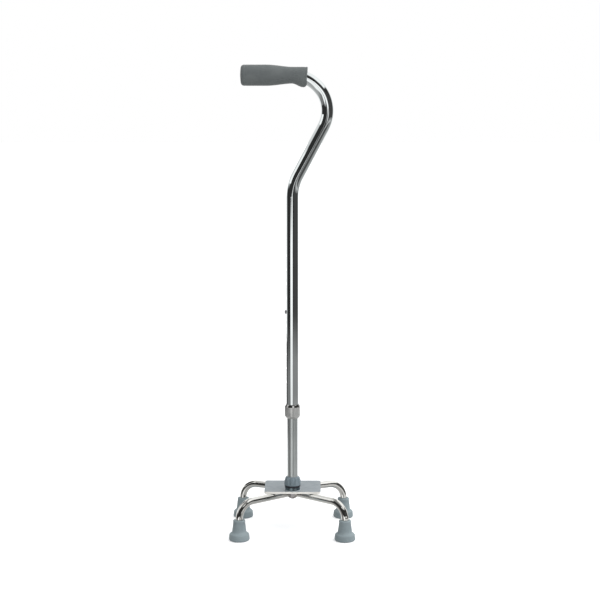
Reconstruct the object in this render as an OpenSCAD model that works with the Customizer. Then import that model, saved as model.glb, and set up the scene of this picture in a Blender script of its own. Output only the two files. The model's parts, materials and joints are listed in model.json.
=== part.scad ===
// Quad walking cane: a swan-neck upper shaft telescopes over a lower tube,
// which stands in a four-footed base and swivels for either hand.
// Millimetres, +Z up. The origin is on the floor at the centre of the feet.
// The grip points to -X, and the shaft stands nearer the front (-Y) feet.

/* [Grip] */
// Length of the moulded grip
grip_length = 118; // [105:1:125]
// Diameter of the grip under the palm
grip_d = 36.5; // [33:0.5:40]
// Diameter of the slimmer neck of the grip
grip_neck_d = 28.6; // [27:0.1:31]
// Radius of the edge at the free end of the grip
grip_end_r = 6; // [3:0.5:7]
// How far past the shaft axis the grip reaches
grip_neck_x = 27.5; // [24:0.5:29]

/* [Swan neck] */
// Lean of the neck from upright, in degrees
neck_lean = 28; // [26:1:30]
// Radius of the bend above the straight shaft
shaft_bend_r = 80; // [60:1:90]
// Radius of the bend behind the grip
neck_bend_r = 61.4; // [58:0.2:64]
// Length of the straight stretch between the bends
neck_straight = 95; // [90:1:100]
// Height where the shaft starts to bend
bend_start_z = 606.6; // [590:0.1:620]

/* [Tubes] */
// Outer diameter of the upper tube
upper_tube_d = 22.2; // [22:0.05:22.6]
// Wall of the upper tube
upper_wall = 1.4; // [1.2:0.05:1.4]
// Outer diameter of the lower tube
lower_tube_d = 19.05; // [18.8:0.05:19.1]
// Wall of the lower tube
lower_wall = 1.2; // [1:0.1:1.5]
// Height of the lower end of the upper tube
upper_tube_z = 217; // [216.9:0.1:217.2]
// Height of the top of the lower tube
lower_tube_top_z = 442; // [430:1:455]

/* [Height setting] */
// Distance between neighbouring adjustment holes
hole_pitch = 25.4; // [24:0.1:26]
// Number of adjustment holes
hole_count = 10; // [8:1:10]
// Number of holes above the one in use
holes_above = 4; // [2:1:4]
// Diameter of the adjustment holes
hole_d = 7.9; // [7.5:0.1:8.5]
// Diameter of the snap button
button_d = 7.1; // [6:0.1:7.2]
// Height of the snap button
button_z = 402.3; // [400:0.1:405]
// How far the button stands out of the upper tube
button_reach = 3.2; // [2.5:0.1:4]

/* [Lock nuts] */
// Outer diameter of the upper lock nut
upper_nut_d = 27.7; // [27:0.1:29]
// Height of the upper lock nut
upper_nut_h = 24.8; // [24:0.1:26]
// Number of fine ribs round the upper lock nut
upper_nut_ribs = 24; // [12:1:30]
// Outer diameter of the base nut
base_nut_d = 29.8; // [29:0.1:31]
// Height of the base nut
base_nut_h = 15.9; // [15.5:0.1:17]
// Number of finger flutes round the base nut
base_nut_flutes = 10; // [6:1:12]

/* [Base] */
// Distance between left and right feet
foot_span_x = 188; // [180:1:200]
// Distance between front and rear feet
foot_span_y = 143; // [135:1:150]
// Distance of the shaft axis in front of the centre of the feet
shaft_forward = 15.6; // [14:0.1:17]
// Diameter of the leg rods
rod_d = 12.7; // [12:0.1:12.7]
// Height of the leg rods' level stretch
rod_z = 66; // [64:0.5:68]
// Radius of the bend at the top of each leg
leg_bend_r = 28.5; // [26:0.5:30]
// Width of the base plate
plate_w = 102; // [95:1:105]
// Depth of the base plate
plate_depth = 77.5; // [75:0.5:80]
// Thickness of the base plate
plate_t = 3.8; // [3.6:0.1:4]
// Distance of the plate's front edge in front of the shaft axis
plate_front = 14.4; // [14:0.1:16]

/* [Feet] */
// Diameter of the rubber foot
foot_d = 36.8; // [34:0.2:38]
// Height of the rubber tip
tip_h = 36.7; // [35:0.1:38]
// Diameter of the tip's neck below its rim
tip_neck_d = 20.6; // [20:0.2:22]
// Diameter of the tip's neck just above the flare
tip_waist_d = 25.6; // [24:0.2:27]

/* [Hidden] */
$fn = 64;

// Clearances
eps = 0.01;          // overrun of a cut past the face it opens
seam = 0.03;         // how far a joining ball stands proud of its bar
running = 0.05;      // radial clearance of a part that slides or turns on a tube

// Tubes
upper_r = upper_tube_d / 2;
upper_bore_r = upper_r - upper_wall;
lower_r = lower_tube_d / 2;
lower_bore_r = lower_r - lower_wall;
tube_end_x = -83;    // sawn end of the upper tube, inside the grip

// Swan neck, in the plane of the grip, with x measured from the shaft axis
bend1_end = [shaft_bend_r * (1 - cos(neck_lean)), bend_start_z + shaft_bend_r * sin(neck_lean)];
bend2_start = bend1_end + neck_straight * [sin(neck_lean), cos(neck_lean)];
bend2_centre = bend2_start + neck_bend_r * [-cos(neck_lean), sin(neck_lean)];
grip_z = bend2_centre[1] + neck_bend_r;

// Grip
grip_r = grip_d / 2;
grip_neck_r = grip_neck_d / 2;
grip_neck_len = 25;  // straight neck before the grip swells
grip_swell_len = 48; // stretch over which the grip swells
grip_end_crown = 0.8;
grip_steps = 12;
lip_angle = 27;      // how far round the bend the lower lip follows the tube
lip_r = 14.6;
plug_flange_t = 2;
plug_spigot_len = 9;

// Snap button
flange_x = 6.1;      // distance of the button's inner face from the shaft axis
button_flange_t = 0.8;
button_flange_r = button_d / 2 + 0.85;
button_crown = 1.6;
button_len = upper_r + button_reach - flange_x;
spring_w = 7;
spring_t = 0.8;
spring_back_x = 7.4; // far side of the spring, against the tube wall
spring_drop = 38;

// Glide bush
glide_r = upper_bore_r - running;
glide_flange_t = 3;
glide_spigot_len = 10;
glide_bore_r = 5;

// Upper lock nut, ferrule and collet, stacked from the nut's lower lip
upper_nut_r = upper_nut_d / 2;
upper_nut_z = upper_tube_z - 6.9;
upper_lip_t = 2.6;
upper_collet_z = upper_nut_z + 2.7;
upper_thread_r = 12.3;
ferrule_h = 11.4;
nut_travel = 3;      // how far a lock nut backs off
upper_cavity_top = upper_tube_z + ferrule_h + nut_travel + 0.5;

// Base stack, upwards from the plate
plate_bottom = rod_z + rod_d / 2;
plate_top = plate_bottom + plate_t;
socket_r = 13.6;
socket_flange_z = plate_top + 6.85;
socket_thread_r = 12;
socket_top_z = plate_top + 15.85;
dust_ring_r = 14.6;
dust_ring_t = 2.6;
socket_bore_r = lower_r + running;
thrust_t = 1.85;
lower_tube_z = plate_top + thrust_t;
base_nut_z = socket_flange_z + dust_ring_t + 0.2;
base_nut_top_z = base_nut_z + base_nut_h;
base_nut_r = base_nut_d / 2;
base_nut_skirt_h = 4.2;  // straight part of the base nut, under its dome
base_nut_dome_in = 4.1;  // how much narrower the dome is at its top
collet_h = 3.8;

// Pivot stud and its nut, under the plate
stud_r = 4;
stud_hole_r = stud_r + 0.1;
stud_low_z = 61;
stud_high_z = lower_tube_z + 17;
plug_top_z = lower_tube_z + 21;
pivot_washer_t = 1.6;
pivot_washer_r = 7.8;
cap_nut_top_z = plate_bottom - pivot_washer_t;
cap_nut_r = 7.9;
cap_nut_flats = 14.4;
cap_nut_low_z = 59.6;
cap_nut_crown_r = 10;

// Legs
shaft_y = -shaft_forward;
foot_x = foot_span_x / 2;
foot_y = foot_span_y / 2;
rod_r = rod_d / 2;
front_apex_y = shaft_y + 18.5;
rear_apex_y = shaft_y + 46;
front_apex_r = 14;
rear_apex_r = 22;
washer_t = 1.4;
washer_r = 7.4;
rod_end_z = 10.6;

// Plate
plate_corner_r = 4;
plate_y = shaft_y - plate_front + plate_depth / 2;

// Rubber tips
foot_r = foot_d / 2;
tip_neck_r = tip_neck_d / 2;
tip_waist_r = tip_waist_d / 2;
tread_in_r = 9;
tread_recess = 1.2;
tread_edge_r = 2.6;

// Weld beads
bead_r = 2;
bead_offset = 4.4;
bead_drop = 1.2;

function arc(cx, cy, r, from, to, n = 8) =
    [for (i = [0:n]) let (a = from + (to - from) * i / n) [cx + r * cos(a), cy + r * sin(a)]];

function ease(t) = t * t * (3 - 2 * t);

// ---- shared shapes ----

module at_shaft(z = 0) {
    translate([0, shaft_y, z]) children();
}

// A bent bar in the XZ plane: centre [x, z], from one angle to another
module bend(centre, radius, bar_r, from, sweep) {
    translate([centre[0], 0, centre[1]])
        rotate([90, 0, 0])
            rotate_extrude(angle = sweep, start = from)
                translate([radius, 0]) circle(r = bar_r);
}

// A ball that joins two stretches of a bent bar where they meet, its poles along local Z
module knuckle(bar_r) {
    sphere(r = bar_r + seam);
}

// The upper shaft's path as a round bar; extra lengthens both ends
module neck_bar(bar_r, extra = 0) {
    low_z = upper_tube_z - extra;
    translate([0, 0, low_z]) cylinder(r = bar_r, h = bend_start_z - low_z);
    translate([0, 0, bend_start_z]) knuckle(bar_r);
    bend([shaft_bend_r, bend_start_z], shaft_bend_r, bar_r, 180 - neck_lean, neck_lean);
    translate([bend1_end[0], 0, bend1_end[1]])
    rotate([0, neck_lean, 0]) {
        knuckle(bar_r);
        cylinder(r = bar_r, h = neck_straight);
        translate([0, 0, neck_straight]) knuckle(bar_r);
    }
    bend(bend2_centre, neck_bend_r, bar_r, -neck_lean, 90 + neck_lean);
    translate([bend2_centre[0], 0, grip_z])
    rotate([0, -90, 0]) {
        knuckle(bar_r);
        cylinder(r = bar_r, h = bend2_centre[0] - tube_end_x + extra);
    }
}

module tube(outer_r, inner_r, low_z, high_z) {
    difference() {
        translate([0, 0, low_z]) cylinder(r = outer_r, h = high_z - low_z);
        translate([0, 0, low_z - eps]) cylinder(r = inner_r, h = high_z - low_z + 2 * eps);
    }
}

module side_hole(r, z) {
    translate([0, 0, z]) rotate([0, -90, 0]) cylinder(r = r, h = upper_r + 2);
}

// ---- handle ----

// Outline of the grip: radius against distance from its neck end
grip_outline = concat(
    [[0, 0], [grip_neck_r - 1, 0], [grip_neck_r, 1]],
    [for (i = [0:grip_steps]) let (t = i / grip_steps)
        [grip_neck_r + (grip_r - grip_neck_r) * ease(t), grip_neck_len + grip_swell_len * t]],
    arc(grip_r - grip_end_r - 0.5, grip_length - grip_end_crown - grip_end_r, grip_end_r, 0, 80),
    [[0, grip_length]]
);

module handle_grip() {
    color("dimgray")
    at_shaft()
    difference() {
        union() {
            translate([grip_neck_x, 0, grip_z])
                rotate([0, -90, 0]) rotate_extrude() polygon(grip_outline);
            intersection() {
                bend(bend2_centre, neck_bend_r, lip_r, 90 - lip_angle, lip_angle);
                translate([grip_neck_x - 60, -30, grip_z - 40]) cube([60, 60, 80]);
            }
        }
        neck_bar(upper_r);
        translate([tube_end_x, 0, grip_z])
            rotate([0, -90, 0]) cylinder(r = upper_r, h = plug_flange_t);
    }
}

module handle_end_plug() {
    color("black")
    at_shaft()
    translate([tube_end_x, 0, grip_z])
    rotate([0, -90, 0]) {
        cylinder(r = upper_r, h = plug_flange_t);
        translate([0, 0, -plug_spigot_len]) cylinder(r = upper_bore_r, h = plug_spigot_len);
    }
}

// ---- upper shaft ----

module upper_tube() {
    color("silver")
    at_shaft()
    difference() {
        neck_bar(upper_r);
        neck_bar(upper_bore_r, eps);
        for (i = [0:hole_count - 1])
            side_hole(hole_d / 2, button_z + (holes_above - i) * hole_pitch);
    }
}

module upper_ferrule() {
    color("silver")
    at_shaft()
    tube(upper_thread_r, upper_r, upper_tube_z, upper_tube_z + ferrule_h);
}

module upper_collet() {
    cone_h = 2.2;
    inner_r = lower_r + running;
    color("white")
    at_shaft()
    difference() {
        rotate_extrude() polygon([
            [inner_r, upper_collet_z], [upper_thread_r - 1.6, upper_collet_z],
            [upper_thread_r - 0.2, upper_collet_z + cone_h],
            [upper_thread_r - 0.2, upper_tube_z - 0.1], [inner_r, upper_tube_z - 0.1]
        ]);
        translate([0, -0.75, upper_collet_z - 1]) cube([upper_nut_r, 1.5, 10]);
    }
}

module upper_lock_nut() {
    chamfer = 1.4;
    shoulder = 4.4;
    top_z = upper_nut_z + upper_nut_h;
    cavity_r = upper_thread_r + running;
    lip_low_r = lower_r + 0.1;
    lip_high_r = upper_r + 0.1;
    rib_groove_r = 1;
    color("gainsboro")
    at_shaft()
    difference() {
        rotate_extrude() polygon([
            [lip_low_r, upper_nut_z],
            [upper_nut_r - 2.4, upper_nut_z], [upper_nut_r, upper_nut_z + 3.6],
            [upper_nut_r, top_z - shoulder], [upper_nut_r - chamfer, top_z - 1],
            [upper_nut_r - chamfer - 0.6, top_z], [lip_high_r, top_z],
            [lip_high_r, upper_cavity_top], [cavity_r, upper_cavity_top],
            [cavity_r, upper_collet_z + 2.2], [cavity_r - 1.5, upper_nut_z + upper_lip_t],
            [lip_low_r, upper_nut_z + upper_lip_t]
        ]);
        for (i = [0:upper_nut_ribs - 1])
            rotate([0, 0, 360 * i / upper_nut_ribs])
                translate([upper_nut_r + rib_groove_r - 0.2, 0, upper_nut_z - 1])
                    cylinder(r = rib_groove_r, h = upper_nut_h - shoulder);
    }
}

// ---- lower shaft ----

module lower_tube() {
    color("silver")
    at_shaft()
    difference() {
        tube(lower_r, lower_bore_r, lower_tube_z, lower_tube_top_z);
        side_hole(hole_d / 2, button_z);
    }
}

module glide_bush() {
    color("black")
    at_shaft(lower_tube_top_z)
    difference() {
        union() {
            cylinder(r = glide_r, h = glide_flange_t);
            translate([0, 0, -glide_spigot_len]) cylinder(r = lower_bore_r, h = glide_spigot_len);
        }
        translate([0, 0, -glide_spigot_len - eps])
            cylinder(r = glide_bore_r, h = glide_spigot_len + glide_flange_t + 2 * eps);
    }
}

// A V of spring strip, its apex at the bottom
module snap_spring() {
    front = -flange_x;
    color("lightsteelblue")
    at_shaft(button_z)
    translate([0, spring_w / 2, 0])
    rotate([90, 0, 0])
    linear_extrude(height = spring_w)
    polygon([
        [front, 7], [front, -7], [-1, -spring_drop], [1, -spring_drop],
        [spring_back_x, -10], [spring_back_x, 2],
        [spring_back_x - spring_t, 2], [spring_back_x - spring_t, -10],
        [0, spring_t * 2 - spring_drop], [front + spring_t, -7], [front + spring_t, 7]
    ]);
}

module snap_button() {
    r = button_d / 2;
    crown_r = (r * r + button_crown * button_crown) / (2 * button_crown);
    crown_angle = asin(r / crown_r);
    color("lightsteelblue")
    at_shaft(button_z)
    translate([-flange_x, 0, 0])
    rotate([0, -90, 0])
    rotate_extrude()
    polygon(concat(
        [[0, 0], [button_flange_r, 0], [button_flange_r, button_flange_t], [r, button_flange_t]],
        arc(0, button_len - crown_r, crown_r, 90 - crown_angle, 90)
    ));
}

module tube_plug() {
    color("gray")
    at_shaft()
    difference() {
        translate([0, 0, lower_tube_z]) cylinder(r = lower_bore_r, h = plug_top_z - lower_tube_z);
        translate([0, 0, lower_tube_z - eps]) cylinder(r = stud_r, h = stud_high_z - lower_tube_z + eps);
    }
}

module pivot_stud() {
    color("silver")
    at_shaft(stud_low_z)
    cylinder(r = stud_r, h = stud_high_z - stud_low_z);
}

module pivot_washer() {
    color("silver")
    at_shaft()
    tube(pivot_washer_r, stud_r, cap_nut_top_z, plate_bottom);
}

module pivot_cap_nut() {
    crown_h = cap_nut_crown_r - sqrt(cap_nut_crown_r * cap_nut_crown_r - cap_nut_r * cap_nut_r);
    collar_h = 1;
    hex_low_z = cap_nut_low_z + crown_h + collar_h;
    color("silver")
    at_shaft()
    difference() {
        intersection() {
            translate([0, 0, cap_nut_low_z]) cylinder(r = cap_nut_r, h = cap_nut_top_z - cap_nut_low_z);
            union() {
                translate([0, 0, cap_nut_low_z + cap_nut_crown_r]) sphere(r = cap_nut_crown_r);
                translate([0, 0, cap_nut_low_z + crown_h])
                    cylinder(r = cap_nut_r + 1, h = cap_nut_top_z - cap_nut_low_z);
            }
        }
        translate([0, 0, hex_low_z]) difference() {
            cylinder(r = cap_nut_r + 1, h = cap_nut_top_z);
            cylinder(r = cap_nut_flats / 2 / cos(30), h = cap_nut_top_z, $fn = 6);
        }
        translate([0, 0, stud_low_z]) cylinder(r = stud_r, h = plate_bottom - stud_low_z);
    }
}

// ---- base ----

module base_collet() {
    outer_r = socket_thread_r - 0.1;
    color("white")
    at_shaft()
    difference() {
        rotate_extrude() polygon([
            [socket_bore_r, socket_top_z], [outer_r, socket_top_z],
            [outer_r, socket_top_z + 1.6], [outer_r - 1.3, socket_top_z + collet_h],
            [socket_bore_r, socket_top_z + collet_h]
        ]);
        translate([0, -0.75, socket_top_z - 1]) cube([base_nut_r, 1.5, 10]);
    }
}

// Outline of the base nut's dome, from its foot up
function nut_dome(steps = 6) = [for (i = [0:steps]) let (t = i / steps)
    [base_nut_r - base_nut_dome_in * t * t,
     base_nut_z + base_nut_skirt_h + (base_nut_h - base_nut_skirt_h) * t]];

module base_nut() {
    cavity_r = socket_thread_r + running;
    mouth_r = lower_r + 0.1;
    cavity_top = socket_top_z + collet_h + 0.2;
    flute_r = 3.4;
    flute_depth = 0.8;
    color("slategray")
    at_shaft()
    difference() {
        rotate_extrude() polygon(concat(
            [[cavity_r, base_nut_z], [base_nut_r - 0.5, base_nut_z], [base_nut_r, base_nut_z + 0.6]],
            nut_dome(),
            [[mouth_r, base_nut_top_z], [mouth_r, cavity_top],
             [cavity_r - 1.3, cavity_top], [cavity_r, socket_top_z + 1.6]]
        ));
        for (i = [0:base_nut_flutes - 1])
            rotate([0, 0, 360 * (i + 0.5) / base_nut_flutes])
                translate([base_nut_r + flute_r - flute_depth, 0, base_nut_z - 1])
                    cylinder(r = flute_r, h = base_nut_h + 2);
    }
}

// Rubber ring that keeps grit out of the thread under the base nut
module dust_ring() {
    edge = 0.5;
    color("black")
    at_shaft()
    rotate_extrude() polygon([
        [socket_thread_r, socket_flange_z], [dust_ring_r - edge, socket_flange_z],
        [dust_ring_r, socket_flange_z + edge], [dust_ring_r, socket_flange_z + dust_ring_t - edge],
        [dust_ring_r - edge, socket_flange_z + dust_ring_t], [socket_thread_r, socket_flange_z + dust_ring_t]
    ]);
}

module base_socket() {
    color("lightslategray")
    at_shaft()
    rotate_extrude() polygon([
        [socket_bore_r, plate_top], [socket_r, plate_top], [socket_r, socket_flange_z - 0.6],
        [socket_r - 0.6, socket_flange_z], [socket_thread_r, socket_flange_z],
        [socket_thread_r, socket_top_z], [socket_bore_r, socket_top_z]
    ]);
}

module thrust_washer() {
    color("ivory")
    at_shaft()
    tube(lower_r - 0.1, stud_hole_r, plate_top, lower_tube_z);
}

module plate_outline() {
    corner_x = plate_w / 2 - plate_corner_r;
    corner_y = plate_depth / 2 - plate_corner_r;
    square([plate_w, 2 * corner_y], center = true);
    square([2 * corner_x, plate_depth], center = true);
    for (x = [-corner_x, corner_x], y = [-corner_y, corner_y])
        translate([x, y]) circle(r = plate_corner_r);
}

module base_plate() {
    color("lightsteelblue")
    difference() {
        translate([0, plate_y, plate_bottom]) linear_extrude(height = plate_t) plate_outline();
        at_shaft(plate_bottom - eps) cylinder(r = stud_hole_r, h = plate_t + 2 * eps);
    }
}

// Angle in plan between a leg rod's arms and the X axis
function plan_angle(apex_y, end_y) = atan2(abs(end_y - apex_y), foot_x);

// Children drawn on both arms of a leg rod: +X runs out along the arm from the apex,
// on the rod's level centreline
module on_rod_arms(apex_y, end_y) {
    turn = sign(end_y - apex_y) * plan_angle(apex_y, end_y);
    for (heading = [turn, 180 - turn])
        translate([0, apex_y, rod_z]) rotate([0, 0, heading]) children();
}

// One rod, bent to a V in plan and turned down into a leg at each end
module leg_rod(apex_y, end_y, apex_r) {
    plan = plan_angle(apex_y, end_y);
    way = sign(end_y - apex_y);
    arm_len = norm([foot_x, end_y - apex_y]);
    arm_start = apex_r * tan(plan);
    arm_end = arm_len - leg_bend_r;
    translate([0, apex_y + way * apex_r / cos(plan), rod_z])
        rotate_extrude(angle = 2 * plan, start = -90 * way - plan)
            translate([apex_r, 0]) circle(r = rod_r);
    on_rod_arms(apex_y, end_y) {
        translate([arm_start, 0, 0])
        rotate([0, 90, 0]) {
            knuckle(rod_r);
            cylinder(r = rod_r, h = arm_end - arm_start);
            translate([0, 0, arm_end - arm_start]) knuckle(rod_r);
        }
        bend([arm_end, -leg_bend_r], leg_bend_r, rod_r, 0, 90);
        translate([arm_len, 0, -leg_bend_r]) knuckle(rod_r);
        translate([arm_len, 0, rod_end_z - rod_z])
            cylinder(r = rod_r, h = rod_z - leg_bend_r - rod_end_z);
    }
}

module front_leg_rod() {
    color("silver") leg_rod(front_apex_y, -foot_y, front_apex_r);
}

module rear_leg_rod() {
    color("silver") leg_rod(rear_apex_y, foot_y, rear_apex_r);
}

// Weld beads in the crevice between a rod and the plate, on both sides of both arms
module rod_beads(apex_y, end_y, from, to) {
    on_rod_arms(apex_y, end_y)
    difference() {
        for (side = [-1, 1])
            translate([from, side * bead_offset, rod_r - bead_drop])
                rotate([0, 90, 0]) cylinder(r = bead_r, h = to - from);
        translate([from - 1, 0, 0]) rotate([0, 90, 0]) cylinder(r = rod_r, h = to - from + 2);
        translate([from - 1, -2 * rod_r, rod_r]) cube([to - from + 2, 4 * rod_r, bead_r]);
    }
}

module weld_beads() {
    socket_bead = 1.4;
    color("lightsteelblue") {
        rod_beads(front_apex_y, -foot_y, 19, 43);
        rod_beads(rear_apex_y, foot_y, 11, 26);
        at_shaft() rotate_extrude() polygon([
            [socket_r, plate_top], [socket_r + socket_bead, plate_top],
            [socket_r, plate_top + socket_bead]
        ]);
    }
}

// ---- feet ----

tip_outline = concat(
    [[0, tread_recess], [tread_in_r - 1, tread_recess], [tread_in_r, 0]],
    arc(foot_r - tread_edge_r, tread_edge_r, tread_edge_r, -90, 0, 5),
    [[foot_r, 6]],
    arc(foot_r - 2.4, 9.2, 2.2, 0, 50, 4),
    arc(tip_waist_r + 2.4, 17.4, 2.4, 235, 180, 4),
    [[tip_neck_r, tip_h - 3.4]],
    arc(tip_neck_r - 1.9, tip_h - 1.6, 1.6, 20, 90, 4),
    [[0, tip_h]]
);

module tip(x, y) {
    color("lightslategray")
    translate([x, y, 0])
    difference() {
        rotate_extrude() polygon(tip_outline);
        translate([0, 0, rod_end_z - eps]) cylinder(r = rod_r, h = tip_h);
        translate([0, 0, rod_end_z - washer_t]) cylinder(r = washer_r, h = washer_t);
    }
}

module front_left_tip() {
    tip(-foot_x, -foot_y);
}

module front_right_tip() {
    tip(foot_x, -foot_y);
}

module rear_left_tip() {
    tip(-foot_x, foot_y);
}

module rear_right_tip() {
    tip(foot_x, foot_y);
}

// The steel disc inside each tip, under the end of its leg
module tip_washers() {
    color("silver")
    for (x = [-foot_x, foot_x], y = [-foot_y, foot_y])
        translate([x, y, rod_end_z - washer_t]) cylinder(r = washer_r, h = washer_t);
}

handle_grip();
handle_end_plug();
upper_tube();
upper_ferrule();
upper_collet();
upper_lock_nut();
lower_tube();
glide_bush();
snap_spring();
snap_button();
tube_plug();
pivot_stud();
pivot_washer();
pivot_cap_nut();
base_collet();
base_nut();
dust_ring();
base_socket();
thrust_washer();
base_plate();
weld_beads();
front_leg_rod();
rear_leg_rod();
front_left_tip();
front_right_tip();
rear_left_tip();
rear_right_tip();
tip_washers();
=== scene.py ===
"""Looks of the quad walking cane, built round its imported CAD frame.

Metres, +Z up, the camera side is -Y and the grip points to -X.
"""

import json
import math

import bmesh
import bpy
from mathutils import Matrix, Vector


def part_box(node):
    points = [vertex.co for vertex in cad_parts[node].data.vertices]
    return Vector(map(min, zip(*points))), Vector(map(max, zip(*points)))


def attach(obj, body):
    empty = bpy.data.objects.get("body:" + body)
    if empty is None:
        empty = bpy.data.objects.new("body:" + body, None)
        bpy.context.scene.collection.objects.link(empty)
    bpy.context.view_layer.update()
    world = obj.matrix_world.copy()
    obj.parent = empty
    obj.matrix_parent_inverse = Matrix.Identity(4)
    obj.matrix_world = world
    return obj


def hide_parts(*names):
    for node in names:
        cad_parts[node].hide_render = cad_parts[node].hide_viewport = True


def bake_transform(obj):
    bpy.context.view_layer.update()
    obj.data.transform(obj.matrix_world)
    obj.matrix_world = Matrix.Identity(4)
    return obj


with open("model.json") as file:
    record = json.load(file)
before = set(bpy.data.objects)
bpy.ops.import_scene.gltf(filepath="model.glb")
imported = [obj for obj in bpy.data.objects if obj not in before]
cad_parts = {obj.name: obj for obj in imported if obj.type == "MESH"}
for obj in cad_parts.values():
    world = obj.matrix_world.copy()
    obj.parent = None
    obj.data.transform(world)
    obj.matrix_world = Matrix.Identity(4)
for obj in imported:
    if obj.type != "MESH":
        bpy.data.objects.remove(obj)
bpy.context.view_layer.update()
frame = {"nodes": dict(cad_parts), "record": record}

SHAFT_Y = (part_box("lower_tube")[0].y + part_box("lower_tube")[1].y) / 2
FLOOR_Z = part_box("front_left_tip")[0].z

# ---------------------------------------------------------------- node tools


class Graph:
    """A short way to write a node tree: values, sockets or nodes go in as inputs."""

    def __init__(self, tree):
        self.tree = tree
        tree.nodes.clear()

    def add(self, kind, inputs=None, **settings):
        node = self.tree.nodes.new(kind)
        for name, value in settings.items():
            setattr(node, name, value)
        for key, value in (inputs or {}).items():
            self.feed(node.inputs[key], value)
        return node

    def feed(self, socket, value):
        if isinstance(value, bpy.types.Node):
            value = value.outputs[0]
        if isinstance(value, bpy.types.NodeSocket):
            self.tree.links.new(value, socket)
        else:
            socket.default_value = value

    def math(self, operation, a, b=0.0, c=0.0):
        return self.add("ShaderNodeMath", {0: a, 1: b, 2: c}, operation=operation)

    def ramp(self, value, low, high, to_low=0.0, to_high=1.0, smooth=True):
        return self.add(
            "ShaderNodeMapRange",
            {"Value": value, "From Min": low, "From Max": high, "To Min": to_low, "To Max": to_high},
            interpolation_type="SMOOTHSTEP" if smooth else "LINEAR",
        )

    def mix(self, factor, a, b):
        node = self.add("ShaderNodeMix", data_type="RGBA")
        self.feed(node.inputs[0], factor)
        self.feed(node.inputs[6], a)
        self.feed(node.inputs[7], b)
        return node.outputs[2]

    def noise(self, vector, scale, detail=3.0, roughness=0.55):
        return self.add(
            "ShaderNodeTexNoise",
            {"Vector": vector, "Scale": scale, "Detail": detail, "Roughness": roughness},
        )

    def stretched(self, vector, x, y, z):
        """Coordinates scaled by a different amount along each axis."""
        return self.add("ShaderNodeMapping", {"Vector": vector, "Scale": (x, y, z)})


def rgba(colour):
    return (*colour, 1.0)


def new_material(name):
    mat = bpy.data.materials.new(name)
    mat.use_nodes = True
    graph = Graph(mat.node_tree)
    graph.place = graph.add("ShaderNodeTexCoord").outputs["Object"]
    graph.shader = graph.add("ShaderNodeBsdfPrincipled")
    graph.add("ShaderNodeOutputMaterial", {"Surface": graph.shader})
    return mat, graph


def two_tone(graph, colour, other, scale):
    """Base colour that drifts between two tones."""
    drift = graph.ramp(graph.noise(graph.place, scale, 4.0), 0.4, 0.62)
    return graph.mix(drift, rgba(colour), rgba(other))


def upward(graph):
    """How far the surface faces up, from -1 to 1, in the piece's own frame."""
    normal = graph.add("ShaderNodeTexCoord").outputs["Normal"]
    return graph.add("ShaderNodeSeparateXYZ", {0: normal}).outputs["Z"]


def bump(graph, height, strength, distance, under=None):
    node = graph.add("ShaderNodeBump", {"Height": height, "Strength": strength, "Distance": distance})
    if under is not None:
        graph.feed(node.inputs["Normal"], under)
    return node


# ---------------------------------------------------------------- materials


def chrome(name, colour, haze, scratches_along=(1, 1, 0.04)):
    """Bright plating: slightly wavy, with faint hand marks and hairline scratches."""
    mat, g = new_material(name)
    darker = [c * 0.93 for c in colour]
    g.feed(g.shader.inputs["Base Color"], two_tone(g, colour, darker, 18))
    g.shader.inputs["Metallic"].default_value = 1.0
    marks = g.ramp(g.noise(g.place, 34, 5, 0.6), 0.5, 0.75, haze, haze + 0.03)
    fine = g.noise(g.stretched(g.place, *scratches_along), 2600, 2)
    hairs = g.ramp(fine, 0.62, 0.7, 0.0, 0.03)
    g.feed(g.shader.inputs["Roughness"], g.math("ADD", marks, hairs))
    waves = bump(g, g.noise(g.place, 26, 1), 0.06, 0.0004)
    g.feed(g.shader.inputs["Normal"], bump(g, fine, 0.02, 0.0001, waves))
    return mat


def moulded(name, colour, other, rough, grain=0.25, depth=0.0003):
    """Moulded rubber or plastic: mottled colour and a fine pebbled skin."""
    mat, g = new_material(name)
    g.feed(g.shader.inputs["Base Color"], two_tone(g, colour, other, 42))
    dust = g.noise(g.place, 160, 4, 0.65)
    g.feed(g.shader.inputs["Roughness"], g.ramp(dust, 0.3, 0.7, rough - 0.06, rough + 0.06))
    pebble = g.add("ShaderNodeTexVoronoi", {"Vector": g.place, "Scale": 900, "Randomness": 1.0})
    skin = bump(g, g.noise(g.place, 300, 3), grain, depth * 2)
    g.feed(g.shader.inputs["Normal"], bump(g, pebble.outputs["Distance"], grain, depth, skin))
    return mat


def brushed_metal(name, colour, other, rough, brushed, metallic):
    """A metal with fine tool marks, stretched by the factors in brushed; returns its graph as well."""
    mat, g = new_material(name)
    g.feed(g.shader.inputs["Base Color"], two_tone(g, colour, other, 60))
    g.shader.inputs["Metallic"].default_value = metallic
    marks = g.noise(g.stretched(g.place, *brushed), 1500, 3)
    g.feed(g.shader.inputs["Roughness"], g.ramp(marks, 0.3, 0.7, rough - 0.07, rough + 0.07))
    g.feed(g.shader.inputs["Normal"], bump(g, marks, 0.12, 0.0001))
    return mat, g


def satin_metal(name, colour, other, rough, brushed=(1, 1, 0.05)):
    """Turned or brushed bare metal."""
    return brushed_metal(name, colour, other, rough, brushed, 1.0)[0]


def lock_nut_metal(name, colour, other, rough):
    """Dull cast metal whose bevels that face up are polished."""
    dull = 0.5
    mat, g = brushed_metal(name, colour, other, rough, (1, 1, 0.05), dull)
    bevel = g.ramp(upward(g), 0.15, 0.3)
    g.feed(g.shader.inputs["Metallic"], g.ramp(bevel, 0.0, 1.0, dull, 1.0, smooth=False))
    g.feed(g.shader.inputs["Roughness"], g.ramp(bevel, 0.0, 1.0, rough, 0.08, smooth=False))
    return mat


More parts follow.
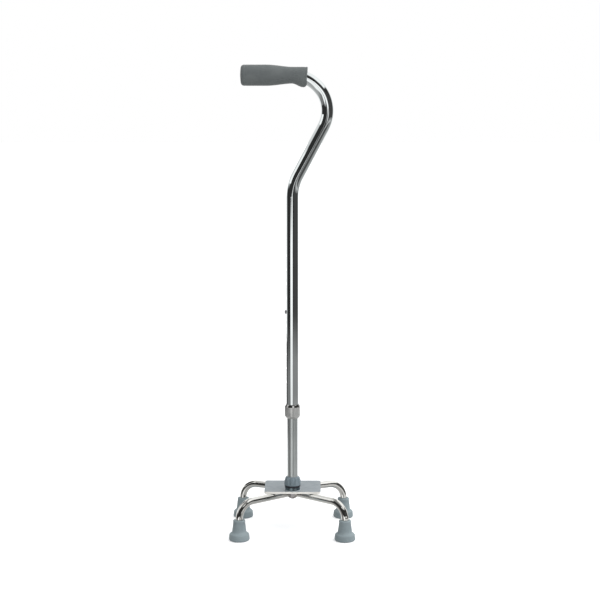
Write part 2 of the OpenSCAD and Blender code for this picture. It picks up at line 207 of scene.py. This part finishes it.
def paint(name, colour, other, rough):
    """Satin paint on steel: orange peel, tone drift and a few specks, with a painted highlight on its sides.
    """
    mat, g = new_material(name)
    tone = two_tone(g, colour, other, 24)
    speck = g.ramp(g.noise(g.place, 900, 2), 0.74, 0.78)
    tone = g.mix(speck, tone, rgba([c * 0.8 for c in colour]))
    # Painted highlight: faces that point neither up nor down get a bright cream colour and a little metal, so
    # the sides look lit
    edge = g.ramp(g.math("ABSOLUTE", upward(g)), 0.35, 0.6, 1.0, 0.0)
    painted_side_highlight = g.mix(g.noise(g.place, 140, 3), (0.95, 0.92, 0.86, 1.0), (0.66, 0.65, 0.62, 1.0))
    g.feed(g.shader.inputs["Base Color"], g.mix(edge, tone, painted_side_highlight))
    g.feed(g.shader.inputs["Metallic"], g.ramp(edge, 0.0, 1.0, 0.2, 0.0, smooth=False))
    rub = g.noise(g.place, 90, 4)
    g.feed(g.shader.inputs["Roughness"], g.ramp(rub, 0.3, 0.7, rough - 0.05, rough + 0.07))
    g.shader.inputs["Coat Weight"].default_value = 0.15
    g.shader.inputs["Coat Roughness"].default_value = 0.25
    g.feed(g.shader.inputs["Normal"], bump(g, g.noise(g.place, 520, 2), 0.1, 0.0002))
    return mat


def make_materials():
    """One material for each of the record's material slots."""
    return {
        "chrome_tube": chrome("chrome_tube", (0.80, 0.84, 0.84), 0.02),
        "lower_tube": chrome("chrome_lower_tube", (0.71, 0.75, 0.74), 0.36),
        "chrome_rod": chrome("chrome_rod", (0.88, 0.875, 0.84), 0.015, (1, 1, 1)),
        "grip": moulded("grip_rubber", (0.124, 0.138, 0.137), (0.110, 0.123, 0.124), 0.48, 0.3),
        "tip_rubber": moulded("tip_rubber", (0.24, 0.29, 0.306), (0.212, 0.258, 0.274), 0.55),
        "inner_plastic": moulded("inner_plastic", (0.02, 0.02, 0.022), (0.03, 0.03, 0.03), 0.5, 0.2, 0.0002),
        "collet": moulded("collet_plastic", (0.6, 0.6, 0.58), (0.5, 0.5, 0.49), 0.5, 0.2, 0.0002),
        "base_nut": moulded("base_nut_plastic", (0.19, 0.232, 0.258), (0.13, 0.168, 0.19), 0.24),
        # seal: the ring under the base nut; its near-black colour also paints the shade of the gap between
        # nut and socket
        "seal": moulded("seal_rubber_painted_shade", (0.012, 0.013, 0.018), (0.02, 0.02, 0.026), 0.4, 0.2, 0.0002),
        "socket": satin_metal("turned_socket", (0.22, 0.27, 0.29), (0.15, 0.19, 0.21), 0.28, (0.05, 0.05, 1)),
        "ferrule": satin_metal("turned_ferrule", (0.7, 0.71, 0.72), (0.6, 0.61, 0.62), 0.3, (0.05, 0.05, 1)),
        "inner_metal": satin_metal("turned_plug", (0.6, 0.61, 0.62), (0.5, 0.51, 0.52), 0.35),
        "upper_nut": lock_nut_metal("lock_nut_metal", (0.52, 0.52, 0.505), (0.42, 0.42, 0.41), 0.26),
        "spring_steel": satin_metal("spring_steel", (0.5, 0.52, 0.56), (0.4, 0.42, 0.47), 0.3),
        "button": satin_metal("button_steel", (0.6, 0.6, 0.61), (0.5, 0.5, 0.52), 0.2),
        "hardware": satin_metal("zinc_plate", (0.62, 0.58, 0.55), (0.55, 0.53, 0.55), 0.3),
        "plate_paint": paint("plate_paint", (0.205, 0.238, 0.26), (0.19, 0.222, 0.243), 0.42),
        "weld": paint("painted_weld", (0.262, 0.296, 0.318), (0.21, 0.24, 0.26), 0.4),
    }


def dress_cad_nodes(materials):
    """Every CAD node gets its slot's material."""
    slot_of_node = {row["node"]: row["material_slot"] for row in frame["record"]["subparts"]}
    for name, node in frame["nodes"].items():
        for place in node.material_slots:
            place.material = materials[slot_of_node[name]]


# ---------------------------------------------------------------- detailed pieces


def smooth(t):
    """An S-shaped rise from 0 to 1 as t goes from 0 to 1."""
    t = min(max(t, 0.0), 1.0)
    return t * t * (3 - 2 * t)


def skin_rings(name, rings, close_start=False, close_end=False, looped=False):
    """A mesh stretched over rings of points, all with the same number of points."""
    count = len(rings[0])
    rows = len(rings)
    points = [p for ring in rings for p in ring]
    faces = []
    for row in range(rows if looped else rows - 1):
        after = (row + 1) % rows
        for i in range(count):
            j = (i + 1) % count
            faces.append((row * count + i, row * count + j, after * count + j, after * count + i))
    if close_start:
        faces.append(tuple(reversed(range(count))))
    if close_end:
        last = (rows - 1) * count
        faces.append(tuple(range(last, last + count)))
    mesh = bpy.data.meshes.new(name)
    mesh.from_pydata(points, [], faces)
    shell = bmesh.new()
    shell.from_mesh(mesh)
    bmesh.ops.recalc_face_normals(shell, faces=shell.faces)
    shell.to_mesh(mesh)
    shell.free()
    for face in mesh.polygons:
        face.use_smooth = True
    piece = bpy.data.objects.new(name, mesh)
    bpy.context.collection.objects.link(piece)
    return piece


def turned_ring(centre, radius, z, count):
    """A ring of points round a vertical axis; radius may be a function of the angle."""
    ring = []
    for i in range(count):
        turn = 2 * math.pi * i / count
        r = radius(turn) if callable(radius) else radius
        ring.append((centre[0] + r * math.cos(turn), centre[1] + r * math.sin(turn), z))
    return ring


def arc(middle_r, middle_z, radius, start, end, steps=6):
    """Points (r, z) on a rounding, from one angle to the other in degrees."""
    turns = [math.radians(start + (end - start) * i / steps) for i in range(steps + 1)]
    return [(middle_r + radius * math.cos(turn), middle_z + radius * math.sin(turn)) for turn in turns]


def tip_section():
    """Half of the tip's section in millimetres, from its washer's seat round to its tread's middle."""
    axis_r, bore_r, seat_r = 0.3, 6.35, 7.4
    seat_z, washer_top, rim_top = 9.2, 10.6, 36.7
    rim_round, bead_r = 0.65, 1.8
    neck_r, neck_z = 10.3, 33.7
    waist_r, waist_z = 12.35, 17.8
    hollow_round, shoulder_round, lean = 5.7, 2.8, 67.8
    foot_r, foot_round = 18.4, 2.8
    section = [(axis_r, seat_z), (seat_r, seat_z), (seat_r, washer_top), (bore_r, washer_top)]
    section += arc(bore_r + rim_round, rim_top - rim_round, rim_round, 180, 90, 3)
    section += arc(9.0, rim_top - bead_r, bead_r, 90, -20)
    section += [(neck_r, neck_z)]
    section += arc(waist_r + hollow_round, waist_z, hollow_round, 180, 180 + lean)
    drop = math.radians(lean)
    shoulder_r = waist_r + (hollow_round + shoulder_round) * (1 - math.cos(drop)) - shoulder_round
    shoulder_z = waist_z - (hollow_round + shoulder_round) * math.sin(drop)
    section += arc(shoulder_r, shoulder_z, shoulder_round, lean, 0)
    section += arc(foot_r - foot_round, foot_round, foot_round, 0, -90)
    for edge in (14.6, 11.9):
        section += [(edge, 0.0), (edge - 0.3, 0.7), (edge - 1.1, 0.7), (edge - 1.4, 0.0)]
    return section + [(9.0, 0.0), (8.2, 1.2), (axis_r, 1.2)]


def make_tip(node, material):
    """A rubber tip with a rolled rim, a step in its foot, tread rings and a mould line."""
    low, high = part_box(node)
    centre = ((low.x + high.x) / 2, (low.y + high.y) / 2)
    line_height, line_width = 0.00022, 0.035
    inside_r, tread_z = 9.4, 1.0

    def with_mould_line(radius):
        def outline(turn):
            return radius + line_height * math.exp(-((math.sin(turn) / line_width) ** 2))
        return outline

    rings = []
    for r, z in tip_section():
        outside = r > inside_r and z > tread_z
        radius = with_mould_line(r / 1000) if outside else r / 1000
        rings.append(turned_ring(centre, radius, low.z + z / 1000, 120))
    piece = skin_rings("rubber_" + node, rings, close_start=True, close_end=True)
    piece.data.materials.append(material)
    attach(piece, "base")
    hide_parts(node)


def make_base_nut(material):
    """The base's lock nut: a dome with ten grooves that notch its top edge."""
    low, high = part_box("base_nut")
    tube_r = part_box("lower_tube")[1].x
    thread_r = 0.01205
    foot_r = 0.0149
    mouth_r = tube_r + 0.0001
    roof_z = high.z - 0.0058
    skirt_z = low.z + 0.0042
    dome_low = low.z + 0.0014
    dome_high = high.z - 0.0005
    dome_in = 0.0041
    groove_count = 10
    groove_turn = 0.6
    steps = 14

    def ring(radius, z):
        return turned_ring((0.0, SHAFT_Y), radius, z, 240)

    def grooved(radius, depth):
        def outline(turn):
            wave = 0.5 + 0.5 * math.cos(groove_count * turn + groove_turn)
            return radius - depth * smooth((wave - 0.42) / 0.3)
        return outline

    rings = [
        ring(thread_r, roof_z - 0.0015),
        ring(thread_r, low.z + 0.0003),
        ring(thread_r + 0.0003, low.z),
        ring(foot_r - 0.0007, low.z),
    ]
    for t in (0.0, 0.35, 0.7, 1.0):
        rings.append(ring(foot_r - 0.0005 + 0.0004 * t, low.z + 0.0002 + 0.0006 * t))
    for i in range(steps + 1):
        t = i / steps
        z = dome_low + (dome_high - dome_low) * t
        up = max(z - skirt_z, 0.0) / (high.z - skirt_z)
        depth = 0.0002 + 0.0008 * smooth(t / 0.2)
        rings.append(ring(grooved(foot_r - dome_in * up ** 3, depth), z))
    rings += [
        ring(grooved(foot_r - dome_in - 0.0004, 0.0004), high.z),
        ring(mouth_r + 0.0002, high.z),
        ring(mouth_r, high.z - 0.0002),
        ring(mouth_r, roof_z),
        ring(thread_r - 0.0013, roof_z),
    ]
    piece = skin_rings("grooved_base_nut", rings, looped=True)
    piece.data.materials.append(material)
    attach(piece, "base_nut_body")
    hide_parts("base_nut")


def make_spring(material):
    """The snap button's V of spring strip."""
    low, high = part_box("snap_spring")
    front, back = low.x, high.x
    top, apex = high.z, low.z
    thick = 0.0008
    knee = top - 0.014
    back_top, back_knee = top - 0.005, top - 0.017
    outer = [(front, top), (front, knee), (-0.001, apex), (0.001, apex), (back, back_knee), (back, back_top)]
    inner = [
        (front + thick, top), (front + thick, knee), (-0.0001, apex + 2 * thick),
        (0.0001, apex + 2 * thick), (back - thick, back_knee), (back - thick, back_top),
    ]
    steps = 8

    def between(line, i):
        """A point (x, z) on a line of corners, i small steps along it."""
        corner = min(i // steps, len(line) - 2)
        t = i / steps - corner
        (ax, az), (bx, bz) = line[corner], line[corner + 1]
        return ax + (bx - ax) * t, az + (bz - az) * t

    rings = []
    for i in range(steps * (len(outer) - 1) + 1):
        out_x, out_z = between(outer, i)
        in_x, in_z = between(inner, i)
        rings.append([
            (out_x, low.y, out_z), (out_x, high.y, out_z), (in_x, high.y, in_z), (in_x, low.y, in_z)
        ])
    piece = skin_rings("flexing_spring", rings, close_start=True, close_end=True)
    for face in piece.data.polygons:
        face.use_smooth = False
    piece.data.materials.append(material)
    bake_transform(piece)
    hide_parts("snap_spring")


GRIP_LOW, GRIP_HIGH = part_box("handle_grip")
GRIP_R = (GRIP_HIGH.y - GRIP_LOW.y) / 2
GRIP_Z = GRIP_HIGH.z - GRIP_R
TUBE_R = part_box("upper_tube")[1].z - GRIP_Z
NECK_R = 0.0143
NECK_LENGTH = 0.0255  # of the part of the grip that follows the bend
GRIP_SIDES = 112
BEND_R = 0.0614       # radius of the tube's bend behind the grip
BEND_X = -0.00025     # where the tube's straight stretch ends


def oval(middle, up, half_up, half_across):
    """A ring of points round middle (x, z), square to the grip's plane; up is a direction in that plane."""
    ring = []
    for i in range(GRIP_SIDES):
        turn = 2 * math.pi * i / GRIP_SIDES
        rise = half_up * math.cos(turn)
        across = half_across * math.sin(turn)
        ring.append((middle[0] + up[0] * rise, SHAFT_Y + across, GRIP_Z + middle[1] + up[1] * rise))
    return ring


def groove(distance, width=0.0008, depth=0.00035):
    """Depth of a shallow rounded groove, at a distance from its middle."""
    return depth * math.exp(-((distance / width) ** 2))


def neck_point(t, turn):
    """A point on the grip's neck: t runs round the bend to the end face, turn runs round the section."""
    end_x = GRIP_HIGH.x - 0.0003
    lip_reach, lip_drop = 0.0246, 0.0066
    lip_start, lip_run = -0.001, 0.0205
    flare = 0.0005
    top = Vector((BEND_X + (end_x - BEND_X) * t, NECK_R))
    low_x = BEND_X + lip_reach * t
    bottom = Vector((low_x, -NECK_R - lip_drop * smooth((low_x - lip_start) / lip_run)))
    middle = (top + bottom) / 2
    up = (top - bottom) / 2
    place = middle + up * math.cos(turn)
    return Vector((place.x, (NECK_R + flare * t) * math.sin(turn), place.y))


def grip_neck_rings():
    """Sections round the bend, the rounded rim, the end face and the bore for the tube."""
    rings = []
    turns = [2 * math.pi * i / GRIP_SIDES for i in range(GRIP_SIDES)]
    top, bottom = neck_point(1, 0), neck_point(1, math.pi)
    middle = (top + bottom) / 2
    up = (top - bottom).normalized()
    out = Vector((up.z, 0.0, -up.x))
    home = Vector((0.0, SHAFT_Y, GRIP_Z))

    def rim(turn):
        """The end's rounding, larger on the lower lip."""
        return 0.0016 + 0.0028 * smooth(-math.cos(turn))

    neck_steps = 36
    groove_from_end = 0.0022
    for i in range(1, neck_steps + 1):
        ring = []
        for turn in turns:
            t = (1 - rim(turn) / NECK_LENGTH) * i / neck_steps
            inset = groove((1 - i / neck_steps) * NECK_LENGTH - groove_from_end)
            place = neck_point(t, turn)
            ring.append(home + place - (place - neck_point(t, turn + math.pi)).normalized() * inset)
        rings.append(ring)
    rim_steps = 7
    for i in range(1, rim_steps + 1):
        lean = math.pi / 2 * i / rim_steps
        ring = []
        for turn in turns:
            place = neck_point(1, turn)
            inward = (middle - place).normalized() * rim(turn) * (1 - math.cos(lean))
            ring.append(home + place + inward - out * rim(turn) * (1 - math.sin(lean)))
        rings.append(ring)
    # where the tube's centreline leaves through the end face
    near, far = 0.0, 0.7
    halvings = 40
    for _ in range(halvings):
        bend = (near + far) / 2
        centre = Vector((BEND_X + BEND_R * math.sin(bend), 0.0, -BEND_R * (1 - math.cos(bend))))
        if (centre - top).dot(out) < 0:
            near = bend
        else:
            far = bend
    along = Vector((math.cos(bend), 0.0, -math.sin(bend)))
    slant = 1 / along.dot(out)
    bore = TUBE_R + 0.0001
    for edge, back in ((0.0006, 0.0), (0.0002, 0.0001), (0.0, 0.0006)):
        mouth = centre - out * back
        radius = bore + edge
        rings.append(oval((mouth.x, mouth.z), (up.x, up.z), radius * slant, radius))
    for depth in (0.003, 0.007):
        inner = bend - depth / BEND_R
        x = BEND_X + BEND_R * math.sin(inner)
        z = -BEND_R * (1 - math.cos(inner))
        rings.append(oval((x, z), (math.sin(inner), math.cos(inner)), bore, bore))
    return rings


def make_grip(material):
    """The moulded grip: a swelling handle whose neck end hangs down round the bent tube."""
    upright = Vector((0.0, 1.0))
    corner = 0.006
    crown = 0.0008
    far_x = GRIP_LOW.x
    flat_r = GRIP_R - corner
    corner_steps = 8
    swell_end, swell_run = GRIP_HIGH.x - 0.025, 0.048
    swell_steps = 90
    groove_from_corner = 0.002
    rings = []
    for t in (0.03, 0.4, 0.7, 0.9, 1.0):
        rings.append(oval((far_x + crown * t * t, 0.0), upright, flat_r * t, flat_r * t))
    for i in range(1, corner_steps + 1):
        turn = math.pi / 2 * i / corner_steps
        x = far_x + crown + corner * (1 - math.cos(turn))
        radius = flat_r + corner * math.sin(turn)
        rings.append(oval((x, 0.0), upright, radius, radius))
    start = far_x + crown + corner
    for i in range(1, swell_steps + 1):
        x = start + (BEND_X - start) * i / swell_steps
        swell = smooth((swell_end - x) / swell_run)
        radius = NECK_R + (GRIP_R - NECK_R) * swell - groove(x - start - groove_from_corner)
        rings.append(oval((x, 0.0), upright, radius, radius))
    piece = skin_rings("grip_shell", rings + grip_neck_rings(), close_start=True, close_end=True)
    piece.data.materials.append(material)
    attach(piece, "upper_shaft")
    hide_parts("handle_grip")


# ---------------------------------------------------------------- studio

# Soft cards that the plating reflects: centre azimuth and elevation, half widths, soft edge
# (all in degrees), brightness, and how far the card's sides lean per degree of elevation.
# Azimuth 0 is the camera side and grows towards +X.
ROOM_LEVEL = 0.03
CARDS = [
    # azimuth, elevation, half azimuth, half elevation, edge, level, lean
    (0, 72, 180, 24, 6, 0.26, 0),          # ceiling
    (70, 5, 45, 20, 6, 0.06, 0),           # grey wall on the right
    (-70, -60, 130, 50, 1.5, 0.22, 0),     # floor on the left
    (-110, -62, 75, 36, 8, 0.44, 0),       # floor on the left, nearer
    (95, -58, 82, 48.4, 1.4, 0.28, 0),     # floor on the right
    (60, -63, 90, 33, 6, 0.40, 0),         # floor on the right, nearer
    (42, -23.5, 33, 7.5, 2, 0.08, 0),      # dark mat on the floor on the right
    (62, -14.6, 34, 1.8, 1, 0.55, 0),      # bright strip of floor on the right
    (100, -32, 30, 14, 6, 0.36, 0),        # floor at the far right
    (186, 0, 60, 46, 12, 1.05, 0),         # backdrop
    (186, -42, 62, 18, 5, 0.62, 0),        # the backdrop's foot
    (-115, 38, 40, 27, 6, 0.78, 0),        # left ceiling
    (105, 60, 60, 22, 6, 1.05, 0),         # right ceiling
    (-15, -8.5, 20, 4, 1.5, 1.2, 0),       # lamp at the camera, lower edge
    (-4, -6.5, 9, 3.4, 1, 1.2, 0),         # lamp at the camera, its corner
    (-21, -21, 14, 13, 4, 1.1, 1.0),       # lamp at the camera, its stand
]


def studio_world():
    """White paper to the camera, soft cards to the plating and a graded wash of light to the rest."""
    world = bpy.data.worlds.new("studio")
    bpy.context.scene.world = world
    world.use_nodes = True
    g = Graph(world.node_tree)
    away = g.add("ShaderNodeSeparateXYZ", {0: g.add("ShaderNodeTexCoord").outputs["Generated"]})
    x, y, z = away.outputs
    azimuth = g.math("ARCTAN2", x, g.math("MULTIPLY", y, -1.0))
    elevation = g.math("ARCSINE", z)
    level = ROOM_LEVEL
    for az, el, half_az, half_el, edge, value, lean in CARDS:
        rise = g.math("SUBTRACT", elevation, math.radians(el))
        side = g.math("SUBTRACT", azimuth, math.radians(az))
        if lean:
            side = g.math("SUBTRACT", side, g.math("MULTIPLY", rise, lean))
        off_az = g.math("ABSOLUTE", g.math("WRAP", side, math.pi, -math.pi))
        off_el = g.math("ABSOLUTE", rise)
        inside = g.math(
            "MULTIPLY",
            g.ramp(off_az, math.radians(half_az - edge), math.radians(half_az + edge), 1.0, 0.0),
            g.ramp(off_el, math.radians(half_el - edge), math.radians(half_el + edge), 1.0, 0.0),
        )
        level = g.add("ShaderNodeMix", {0: inside, 2: level, 3: value}, data_type="FLOAT")
    # Light on matt surfaces: brighter from above and from the right
    base_level, from_above, from_right = 0.80, 0.80, 0.80
    over = g.math("MULTIPLY_ADD", g.math("MAXIMUM", z, 0.0), from_above, base_level)
    wash = g.math("MULTIPLY", over, g.math("MULTIPLY_ADD", x, from_right, 1.0))
    rays = g.add("ShaderNodeLightPath")
    cards = g.add("ShaderNodeBackground", {"Color": level, "Strength": 1.0})
    ambient = g.add("ShaderNodeBackground", {"Color": (0.98, 0.99, 1.0, 1.0), "Strength": wash})
    paper = g.add("ShaderNodeBackground", {"Color": (1.0, 1.0, 1.0, 1.0), "Strength": 1.0})
    seen = g.add("ShaderNodeMixShader", {0: rays.outputs["Is Glossy Ray"], 1: ambient, 2: cards})
    seen = g.add("ShaderNodeMixShader", {0: rays.outputs["Is Camera Ray"], 1: seen, 2: paper})
    g.add("ShaderNodeOutputWorld", {"Surface": seen})


# Panels near the cane, glowing or (at brightness 0) dark, which its parts see in different
# directions: name, place, point faced, width, height, brightness and the share of its size
# over which an edge fades
PANELS = [
    ("lamp_upper", (0.22, -0.93, 0.88), (0.0, SHAFT_Y, 0.88), 0.62, 0.36, 1.25, 0.3),
    ("lamp_upper_side", (0.40, -0.80, 0.69), (0.05, SHAFT_Y, 0.69), 0.30, 0.18, 0.85, 0.35),
    ("softbox_right", (2.3, 0.1, 3.3), (0.0, 0.1, 3.3), 3.2, 2.0, 1.1, 0.12),
    ("lamp_left", (-1.05, -0.12, 1.045), (0.0, -0.12, 1.045), 0.86, 0.38, 1.15, 0.08),
    ("flag_left", (-0.22, 0.14, 0.21), (0.0, 0.14, 0.21), 0.22, 0.24, 0.0, 0.12),
    ("glow_low_right", (0.5, -0.5, 0.04), (0.0, SHAFT_Y, 0.04), 0.6, 0.08, 1.05, 0.2),
    ("floor_glow_right", (0.22, -0.05, 0.002), (0.22, -0.05, 1.0), 0.20, 0.6, 0.65, 0.1),
]


def flat_rectangle(name, half_x, half_y, z):
    """A level rectangle round the origin of its own object."""
    mesh = bpy.data.meshes.new(name)
    corners = [(-half_x, -half_y, z), (half_x, -half_y, z), (half_x, half_y, z), (-half_x, half_y, z)]
    mesh.from_pydata(corners, [], [(0, 1, 2, 3)])
    sheet = bpy.data.objects.new(name, mesh)
    bpy.context.collection.objects.link(sheet)
    return sheet


def turn_to(thing, place, aim, front):
    """Put a lamp or panel at its place, its front axis towards the point it faces."""
    thing.location = place
    thing.rotation_euler = (Vector(aim) - Vector(place)).to_track_quat(front, "Y").to_euler()


def panel(name, place, aim, width, height, level, edge):
    """A panel that only the plating sees; it fades out along its edges."""
    card = flat_rectangle(name, width / 2, height / 2, 0.0)
    turn_to(card, place, aim, "Z")
    mat = bpy.data.materials.new(name)
    mat.use_nodes = True
    g = Graph(mat.node_tree)
    generated = g.add("ShaderNodeTexCoord").outputs["Generated"]
    across, along, _ = g.add("ShaderNodeSeparateXYZ", {0: generated}).outputs
    cover = 1.0
    for axis in (across, along):
        off_middle = g.math("ABSOLUTE", g.math("SUBTRACT", axis, 0.5))
        cover = g.math("MULTIPLY", cover, g.ramp(off_middle, 0.5 - edge, 0.5, 1.0, 0.0))
    glow = g.add("ShaderNodeEmission", {"Color": (1.0, 1.0, 1.0, 1.0), "Strength": level})
    through = g.add("ShaderNodeBsdfTransparent")
    seen = g.add("ShaderNodeMixShader", {0: cover, 1: through, 2: glow})
    g.add("ShaderNodeOutputMaterial", {"Surface": seen})
    card.data.materials.append(mat)
    for ray in ("camera", "diffuse", "transmission", "shadow", "volume_scatter"):
        setattr(card, "visible_" + ray, False)


def soft_lamp(name, place, aim, size, watts):
    """A large round lamp that lights the matt surfaces and leaves no reflection."""
    light = bpy.data.lights.new(name, "AREA")
    light.shape = "DISK"
    light.size = size
    light.energy = watts
    lamp = bpy.data.objects.new(name, light)
    bpy.context.collection.objects.link(lamp)
    turn_to(lamp, place, aim, "-Z")
    lamp.visible_glossy = False
    lamp.visible_camera = False


def pale_floor():
    """A wide white floor, level with the tips' treads."""
    half = 30.0
    floor = flat_rectangle("floor", half, half, FLOOR_Z)
    mat, g = new_material("floor_paper")
    # It is as bright as paper to the eye, but throws back less light, as if flagged off
    paper = two_tone(g, (0.93, 0.93, 0.93), (0.92, 0.92, 0.92), 3)
    bounce = g.add("ShaderNodeLightPath").outputs["Is Diffuse Ray"]
    g.feed(g.shader.inputs["Base Color"], g.mix(bounce, paper, (0.42, 0.42, 0.42, 1.0)))
    g.shader.inputs["Roughness"].default_value = 0.9
    g.shader.inputs["Specular IOR Level"].default_value = 0.0
    g.shader.inputs["Emission Color"].default_value = (1.0, 1.0, 1.0, 1.0)
    g.shader.inputs["Emission Strength"].default_value = 0.2
    floor.data.materials.append(mat)
    floor.visible_glossy = False


def camera():
    """The main view: from the front, a little right of and above the middle."""
    data = bpy.data.cameras.new("camera")
    data.sensor_width = 36.0
    data.lens = 81.7
    cam = bpy.data.objects.new("camera", data)
    bpy.context.collection.objects.link(cam)
    aim = Vector((0.0135, SHAFT_Y, 0.4236))
    turn, rise, distance = math.radians(0.6), math.radians(7.9), 2.422
    back = Vector((math.sin(turn) * math.cos(rise), -math.cos(turn) * math.cos(rise), math.sin(rise)))
    cam.location = aim + distance * back
    cam.rotation_euler = (math.pi / 2 - rise, 0.0, turn)
    bpy.context.scene.camera = cam


# ---------------------------------------------------------------- assembly

camera()
studio_world()
soft_lamp("key", (1.3, -1.9, 2.2), (0, 0, 0.4), size=3.0, watts=9)
for row in PANELS:
    panel(*row)
pale_floor()
materials = make_materials()
dress_cad_nodes(materials)
make_grip(materials["grip"])
make_base_nut(materials["base_nut"])
make_spring(materials["spring_steel"])
for tip in ("front_left_tip", "front_right_tip", "rear_left_tip", "rear_right_tip"):
    make_tip(tip, materials["tip_rubber"])
bpy.context.scene.view_settings.view_transform = "Standard"
